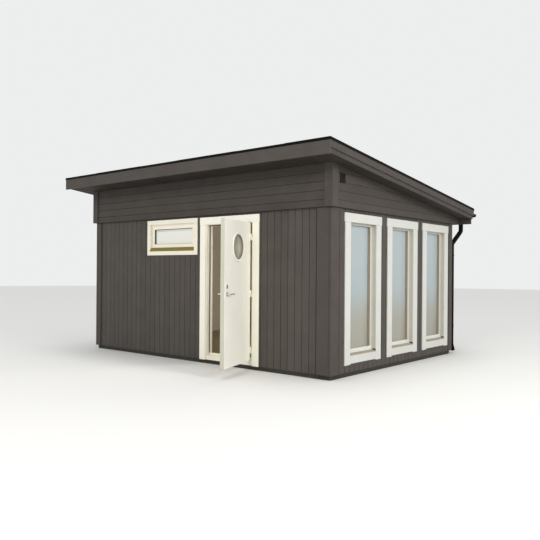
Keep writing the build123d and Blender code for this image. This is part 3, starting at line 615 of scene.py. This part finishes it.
FELT_LANE = 1.0
FELT_LAP = 0.08
FELT_SHEET = 0.003
LANE_STEP = 0.0024
FELT_FRONT_INSET = 0.001
FELT_BACK_INSET = 0.002
felt = grit_felt("bitumen_felt", "#1C1A17")
low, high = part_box("roof_felt")
lanes = new_boarding()
reach = (high.y - low.y) / math.cos(ROOF_PITCH) - FELT_BACK_INSET
for i in range(math.ceil((high.x - low.x) / FELT_LANE)):
    over = i % 2 == 1
    lap = FELT_LAP if over else 0.0
    top = 0.0 if over else -LANE_STEP
    lane_start = low.x + i * FELT_LANE
    lane_low = max(lane_start - lap, low.x)
    lane_high = min(lane_start + FELT_LANE + lap, high.x)
    add_board(lanes, (lane_low, FELT_FRONT_INSET, top - FELT_SHEET), (lane_high, reach, top))
add_piece("felt_lanes", lanes, felt, nodes=("roof_felt",),
          place=Matrix.Translation((0, low.y, high.z)) @ Matrix.Rotation(-ROOF_PITCH, 4, "X"))


# The folded metal on the roof's edges, the gutter on its brackets and the downpipe
# in its clips: steel sheet with a black baked coating, screwed on.
def coated_steel(name, hex_colour, roughness=0.55):
    """Polyester coating on sheet steel: even colour, a soft sheen with slight waves."""
    material, tree, shader = new_finish(name, roughness, specular=0.08, hex_colour=hex_colour)
    place = add_node(tree, "ShaderNodeTexCoord").outputs["Object"]
    # the sheet's waves and the dust on it are about 120 mm across
    waves = add_node(tree, "ShaderNodeTexNoise", {"Vector": place, "Scale": 1 / 0.12, "Detail": 2.0})
    dust = add_node(tree, "ShaderNodeMapRange", {"Value": waves.outputs["Fac"], "To Min": roughness - 0.08,
                                                 "To Max": roughness + 0.12})
    tree.links.new(dust.outputs[0], shader.inputs["Roughness"])
    bump = add_node(tree, "ShaderNodeBump", {"Height": waves.outputs["Fac"], "Strength": 0.15,
                                             "Distance": 0.004})
    tree.links.new(bump.outputs[0], shader.inputs["Normal"])
    return material


FOLD_SOFT = 0.0015
black_steel = coated_steel("black_coated_steel", "#090807")
soft_edges("roof_edge_folds", "roof_edge_trims", black_steel, FOLD_SOFT)
for node in ("gutter", "gutter_brackets", "downpipe", "pipe_clips"):
    use_material(node, black_steel)

# The vent in the band near the corner: a grille of pressed sheet steel with a dark
# brown coating, screwed over its duct.
use_material("vent_grille", coated_steel("dark_brown_coated_grille", "#2B2824"))


# Casings of the three tall windows: planks butted with hair joints and nailed over the
# boarding, in a cool white satin paint. The headers run a little past the uprights.
def painted_wood(name, hex_colour, along="Z"):
    """Brushed alkyd paint on planed pine: satin, with faint brush marks along the grain."""
    material, tree, shader = new_finish(name, roughness=0.42)
    place = add_node(tree, "ShaderNodeTexCoord").outputs["Object"]
    # brush marks about 6 mm apart and 400 mm long
    marks = streaks(tree, place, along, 0.006, 0.4, {"Detail": 3.0})
    # clouds of wear about 350 mm across
    cloud = add_node(tree, "ShaderNodeTexNoise", {"Vector": place, "Scale": 1 / 0.35, "Detail": 2.0})
    wear = add_node(tree, "ShaderNodeMath",
                    {0: marks.outputs["Fac"], 1: cloud.outputs["Fac"]}, operation="ADD")
    shade_colour(tree, shader, hex_colour, wear.outputs[0], amounts=(0.6, 1.4), shares=(0.955, 1.03))
    bump = add_node(tree, "ShaderNodeBump", {"Height": marks.outputs["Fac"], "Strength": 0.2,
                                             "Distance": 0.0005})
    tree.links.new(bump.outputs[0], shader.inputs["Normal"])
    return material


CASING_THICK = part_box("tall_window_casings")[1].x - RIGHT
CASING_SOFT = 0.003
HAIR_JOINT = 0.0006


def levels(node, axis):
    """The distinct coordinates at which a node of level and upright planks turns."""
    found = []
    for value in sorted(vert.co[axis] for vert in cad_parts[node].data.vertices):
        if not found or value - found[-1] > SAME_SPOT:
            found.append(value)
    return found


def add_casing(name, paint, turn_deg, ends, heights, foot=None, past=0.0, nodes=()):
    """Planks round an opening. ends holds their outer and inner edges from left to right,
    heights the foot of the uprights and both edges of the header, foot both edges of the
    plank under the opening, and past is how far the header runs past the uprights."""
    out_left, in_left, in_right, out_right = ends
    tail, head_low, head_high = heights
    upright_top = head_low - HAIR_JOINT
    planks = [((out_left, tail), (in_left, upright_top)), ((in_right, tail), (out_right, upright_top)),
              ((out_left - past, head_low), (out_right + past, head_high))]
    if foot:
        planks.append(((in_left + HAIR_JOINT, foot[0]), (in_right - HAIR_JOINT, foot[1])))
    bm = new_boarding()
    for (u0, z0), (u1, z1) in planks:
        add_board(bm, (u0, -CASING_THICK, z0), (u1, 0.0, z1))
    front = [edge for edge in bm.edges
             if all(vert.co.y < -CASING_THICK + SAME_SPOT for vert in edge.verts)]
    bevel_edges(bm, front, CASING_SOFT)
    add_piece(name, bm, paint, place=wall_place(turn_deg), nodes=nodes)


# a casing's planks turn at six places across: header, upright and opening, on each side
EDGES_EACH = 6
casing_white = painted_wood("white_painted_wood", "#D0D0CB")
tall_y = levels("tall_window_casings", 1)
tall_tail, tall_foot_low, tall_foot_high, tall_head_low, tall_head_high = levels("tall_window_casings", 2)
for i in range(TALL_COUNT):
    edges = tall_y[EDGES_EACH * i : EDGES_EACH * (i + 1)]
    add_casing(f"tall_casing_{i + 1}", casing_white, 90, edges[1:5],
               (tall_tail, tall_head_low, tall_head_high), (tall_foot_low, tall_foot_high),
               past=edges[1] - edges[0], nodes=("tall_window_casings",) if i == 0 else ())

# Frames and sashes of the tall windows, painted white; the frames a darker white, as
# painted shade in the reveals. Each sash has two stiles on a foot rail: the stiles are a
# greyer white as painted shade, the rail a brighter white as painted light, and the
# sides towards the glass brown as painted shade.
SASH_RAIL = 0.051
# a face looks aside from an axis when its normal has less than this share of it
ASIDE = 0.3
reveal_paint = painted_wood("shaded_reveal_paint", "#BFBCAE")
shaded_sash_paint = painted_wood("white_sash_painted_shade", "#C4C3BD")
lit_rail_paint = painted_wood("white_sash_rail_painted_light", "#E2E2DC", "Y")
bead_shade_paint = painted_wood("brown_bead_painted_shade", "#968C7C")
soft_edges("tall_frames", "tall_window_frames", reveal_paint, EDGE_SOFT)
sashes = soft_copy("tall_window_sashes", EDGE_SOFT)
rail_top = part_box("tall_window_sashes")[0].z + SASH_RAIL
geometry = list(sashes.verts) + list(sashes.edges) + list(sashes.faces)
bmesh.ops.bisect_plane(sashes, geom=geometry, plane_co=(0, 0, rail_top), plane_no=(0, 0, 1))
sashes = add_piece("tall_sashes", sashes, shaded_sash_paint, nodes=("tall_window_sashes",))
repaint(sashes.data, bead_shade_paint, lambda face: abs(face.normal.x) < ASIDE and face.normal.z < FACING)
repaint(sashes.data, lit_rail_paint,
        lambda face: face.center.z < rail_top and max(face.normal.x, face.normal.z) > ASIDE)


# Panes of the tall windows: sealed double glazing, held in the sash by beads painted
# brown as painted shade. From outside it mirrors the pale backdrop and lets little of
# the dark room through; its colour, blue-grey above and beige-grey below, is a
# painted reflection.
def painted_reflection_glass(name, stops, low_z, high_z):
    """Float glass: smooth and mirror-like, with a painted reflection: its colour runs by height through the
    given stops.
    """
    material, tree, shader = new_finish(name, roughness=0.04)
    place = add_node(tree, "ShaderNodeTexCoord").outputs["Object"]
    height = add_node(tree, "ShaderNodeSeparateXYZ", {"Vector": place}).outputs["Z"]
    share = add_node(tree, "ShaderNodeMapRange", {"Value": height, "From Min": low_z, "From Max": high_z})
    ramp = add_node(tree, "ShaderNodeValToRGB", {"Fac": share.outputs[0]})
    while len(ramp.color_ramp.elements) < len(stops):
        ramp.color_ramp.elements.new(0.5)
    for element, (position, hex_colour) in zip(ramp.color_ramp.elements, stops):
        element.position = position
        element.color = linear(hex_colour)
    tree.links.new(ramp.outputs["Color"], shader.inputs["Base Color"])
    shader.inputs["IOR"].default_value = 1.52
    return material


def part_of_node(node, test):
    """The merged mesh of those solids of a node whose corners pass the test."""
    bm = copy_of_nodes(node)
    bmesh.ops.delete(bm, geom=[vert for vert in bm.verts if not test(vert.co)], context="VERTS")
    return bm


def on_right_wall(point):
    return point.x > RIGHT - WALL_THICK


def on_front_wall(point):
    return not on_right_wall(point)


def strips_round(bm, u0, u1, z0, z1, widths, y, thick):
    """Strips just inside a rectangle, in front of the plane y: left, right, head and foot."""
    left, right, head, foot = widths
    add_board(bm, (u0, y - thick, z0), (u0 + left, y, z1))
    add_board(bm, (u1 - right, y - thick, z0), (u1, y, z1))
    add_board(bm, (u0 + left, y - thick, z1 - head), (u1 - right, y, z1))
    if foot:
        add_board(bm, (u0 + left, y - thick, z0), (u1 - right, y, z0 + foot))


GLASS_POCKET = 0.012
BEAD_WIDTHS = (0.013, 0.013, 0.013, 0.0)
BEAD_THICK = 0.016
tall_glass = painted_reflection_glass("tall_pane_painted_reflection", ((0.0, "#9C998D"), (0.22, "#A09F95"), (0.45, "#A6B0B3"),
                                            (1.0, "#A9B4B8")), low_z=0.35, high_z=2.0)
add_piece("tall_panes", part_of_node("window_glass", on_right_wall), tall_glass,
          nodes=("window_glass",))
glass_x = levels("window_glass", 0)
glass_y = levels("window_glass", 1)
glass_z = levels("window_glass", 2)
beads = new_boarding()
# the small pane's two levels come first along y
for pane_start, pane_end in zip(glass_y[2::2], glass_y[3::2]):
    strips_round(beads, pane_start + GLASS_POCKET, pane_end - GLASS_POCKET,
                 glass_z[0] + GLASS_POCKET, glass_z[3] - GLASS_POCKET, BEAD_WIDTHS,
                 RIGHT - glass_x[3], BEAD_THICK)
add_piece("tall_glazing_beads", beads, bead_shade_paint, place=wall_place(90))

# Flashings under the tall windows: folded sheet steel with a grey-brown coating,
# tucked under the frame. At each end stands a thin dark upright plate, painted shade
# where the flashing meets the reveal.
FLASHING_HALF = 0.3325
# the upright plates of painted shade, measured from the flashing's end, the wall's face and the foot plank
END_INSET = 0.0005
END_THICK = 0.0025
END_PROUD = 0.010
END_DEEP = 0.041
END_FOOT = 0.004
END_RISE = 0.026
grey_sheet = coated_steel("grey_coated_flashing", "#A39C8B", roughness=0.5)
# the dark plates and block of painted shade take the coating's faint waves
shade_plate_finish = coated_steel("dark_painted_shade_finish", "#2B2318", roughness=0.8)
add_piece("tall_flashings", part_of_node("window_flashings", on_right_wall), grey_sheet,
          nodes=("window_flashings",))
ends = new_boarding()
for centre in tall_centres:
    for side in (-1, 1):
        outer = centre + side * (FLASHING_HALF - END_INSET)
        inner = outer - side * END_THICK
        add_board(ends, (min(outer, inner), -END_PROUD, tall_foot_high + END_FOOT),
                  (max(outer, inner), END_DEEP, tall_foot_high + END_RISE))
add_piece("flashing_end_shade_plates", ends, shade_plate_finish, place=wall_place(90))

# The small high window: casing, frame and sash of pine, painted cream. Its pane is
# bedded in black rubber; the sash's inner faces at the head and the left are painted
# dark green as painted shade, and the left reveal of its frame a darker cream, also
# painted shade.
SMALL_SEAL_WIDTHS = (0.003, 0.003, 0.001, 0.003)
SMALL_SEAL_THICK = 0.003


def seal_rubber(name, hex_colour):
    """Extruded rubber: dull and even."""
    return new_finish(name, roughness=0.8, specular=0.2, hex_colour=hex_colour)[0]


cream_wood = painted_wood("cream_painted_wood", "#F4EEDD", "X")
small_x = levels("small_window_casing", 0)
small_tail, small_foot, small_head_low, small_head_high = levels("small_window_casing", 2)
add_casing("small_casing_planks", cream_wood, 0, small_x, (small_tail, small_head_low, small_head_high),
           (small_tail, small_foot), nodes=("small_window_casing",))
small_frame = soft_edges("small_frame", "small_window_frame", cream_wood, EDGE_SOFT)
# the frame's left reveal is painted a darker cream as painted shade
repaint(small_frame.data, painted_wood("shaded_cream_reveal", "#CBC6B6"),
        lambda face: face.normal.x > FACING)
# the small pane's pale colour is a painted reflection
small_glass = painted_reflection_glass("small_pane_painted_reflection", ((0.0, "#E9E7DB"), (1.0, "#EDEEE8")), low_z=1.78, high_z=1.98)
add_piece("small_pane", part_of_node("window_glass", on_front_wall), small_glass)
pane_left = glass_x[0] + GLASS_POCKET
pane_head = glass_z[2] - GLASS_POCKET
small_sash = soft_edges("small_sash", "small_window_sash", cream_wood, EDGE_SOFT)


def painted_shade_faces(face):
    """The inner faces of the sash at its left and its head, painted dark as painted shade."""
    at_left = face.normal.x > ASIDE and face.center.x < pane_left + EDGE_SOFT
    at_head = face.normal.z < -ASIDE and face.center.z > pane_head - EDGE_SOFT
    return at_left or at_head


repaint(small_sash.data, painted_wood("dark_green_painted_shade", "#262A20"), painted_shade_faces)
rubber = seal_rubber("black_seal_rubber", "#23211D")
seals = new_boarding()
strips_round(seals, pane_left, glass_x[1] - GLASS_POCKET, glass_z[1] + GLASS_POCKET, pane_head,
             SMALL_SEAL_WIDTHS, glass_y[0] - FRONT, SMALL_SEAL_THICK)
add_piece("small_glazing_seals", seals, rubber, place=wall_place(0))

# The small window's flashing: folded sheet steel, its olive colour a painted reflection
# of a wooden deck, set on the casing's foot plank, with a dark block of painted shade at
# its left end.
FLASHING_LIFT = 0.008
SHADE_BLOCK_WIDTH = 0.022
SHADE_BLOCK_FOOT = 0.004
SHADE_BLOCK_TOP = 0.020
SHADE_BLOCK_PROUD = 0.002
SHADE_BLOCK_SETBACK = 0.004
olive_reflection_sheet = coated_steel("olive_painted_reflection_flashing", "#857A42", roughness=0.5)
flashing = part_of_node("window_flashings", on_front_wall)
bmesh.ops.translate(flashing, verts=flashing.verts, vec=(0, 0, FLASHING_LIFT))
low, high = (Vector([pick(vert.co[axis] for vert in flashing.verts) for axis in range(3)])
             for pick in (min, max))
add_piece("small_flashing", flashing, olive_reflection_sheet)
# a dark block of painted shade at the flashing's left end
shade_block = new_boarding()
add_board(shade_block, (low.x + END_INSET, low.y - FRONT - SHADE_BLOCK_PROUD, low.z + SHADE_BLOCK_FOOT),
          (low.x + SHADE_BLOCK_WIDTH, high.y - FRONT - SHADE_BLOCK_SETBACK, low.z + SHADE_BLOCK_TOP))
add_piece("small_flashing_shade_block", shade_block, shade_plate_finish, place=wall_place(0))

# Round the doorway: casing planks nailed over the boarding in warm white paint, and a
# rebated frame in a darker warm white that is painted shade, on a cream threshold. A
# rubber strip on the face of the frame's stop seals the leaf when it is shut.
FRAME_FACE = 0.046
STOP_SETBACK = 0.063
SEAL_INSET = 0.001
SEAL_FOOT = 0.002
DOOR_SEAL_WIDTH = 0.011
DOOR_SEAL_THICK = 0.004
warm_white = painted_wood("warm_white_painted_wood", "#FAF7E9")
shaded_jamb_paint = painted_wood("door_jamb_painted_shade", "#E9E3D2")
door_x = levels("door_casing", 0)
add_casing("door_casing_planks", warm_white, 0, door_x[1:5], levels("door_casing", 2),
           past=door_x[1] - door_x[0], nodes=("door_casing",))
soft_edges("door_jambs", "door_frame", shaded_jamb_paint, EDGE_SOFT)
soft_edges("door_sill", "door_threshold", cream_wood, EDGE_SOFT)
low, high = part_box("door_frame")
seal_in = FRAME_FACE + SEAL_INSET
seals = new_boarding()
strips_round(seals, low.x + seal_in, high.x - seal_in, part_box("door_threshold")[1].z + SEAL_FOOT,
             high.z - seal_in, (DOOR_SEAL_WIDTH, DOOR_SEAL_WIDTH, DOOR_SEAL_WIDTH, 0.0), STOP_SETBACK,
             DOOR_SEAL_THICK)
add_piece("door_seal", seals, rubber, place=wall_place(0))

# The door leaf: a flat slab in white paint on three pinned hinges, shown as it stands
# in the photograph. Its narrow edges are painted greyer, as painted shade.
LEAF_OPEN_DEG = 110.0
white_door = painted_wood("white_painted_door", "#FBF9EE")
shaded_edge_paint = painted_wood("grey_white_edge_painted_shade", "#BFBCAC")
slab = soft_edges("door_slab", "door_leaf", white_door, EDGE_SOFT, "door")
leaf_turn = math.radians(LEAF_OPEN_DEG)
leaf_across = Vector((-math.sin(leaf_turn), math.cos(leaf_turn), 0))


def on_leaf_edge(face):
    """Whether a face of the leaf looks along its plane."""
    return abs(face.normal.dot(leaf_across)) < ASIDE


repaint(slab.data, shaded_edge_paint, on_leaf_edge)

# The round window: moulded rings of wood, fixed to both sides of the leaf and painted
# with it. Their rims are painted darker as painted shade: a greyer white on the outer
# rims, brown on the inner rims round the pane.
RIM_RADIUS = 0.19
# the door pane is grey glass with a painted reflection, lighter at mid height
door_glass = painted_reflection_glass("door_pane_painted_reflection", ((0.0, "#A3A18F"), (0.5, "#B3B1A0"), (1.0, "#8F9084")),
                        low_z=1.55, high_z=1.88)
use_material("door_window_glass", door_glass)
use_material("door_window_rings", white_door)
low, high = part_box("door_window_glass")
port_centre = (low + high) / 2


def port_radius(face):
    """How far a face lies from the axis of the round window."""
    offset = face.center - port_centre
    return (offset - leaf_across * offset.dot(leaf_across)).length


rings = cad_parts["door_window_rings"].data
repaint(rings, painted_wood("ring_rim_painted_shade", "#C4BFAF"),
        lambda face: on_leaf_edge(face) and port_radius(face) > RIM_RADIUS)
repaint(rings, bead_shade_paint, lambda face: on_leaf_edge(face) and port_radius(face) <= RIM_RADIUS)

# Door furniture of brushed stainless steel, screwed through the leaf, and the hinges,
# which are painted over with the door.
steel = new_finish("brushed_steel", roughness=0.34, metallic=1.0, hex_colour="#D6D3C9")[0]
for node in ("door_rosettes", "door_handle"):
    use_material(node, steel)
for node in ("hinge_frame_halves", "hinge_leaf_halves"):
    use_material(node, warm_white)

# Timber that shows only from inside or through the openings: sawn joists, rafters and
# roof deck, planed floor boards with a coat of oil, and the lining under the rafters.
sawn = plain_timber("sawn_spruce", "#A98F6B", "Y", roughness=0.8)
for node in ("floor_joists", "rafters", "roof_deck"):
    use_material(node, sawn)
use_material("floor_boards", plain_timber("oiled_floor_boards", "#867D67", "X"))
use_material("ceiling", lining)
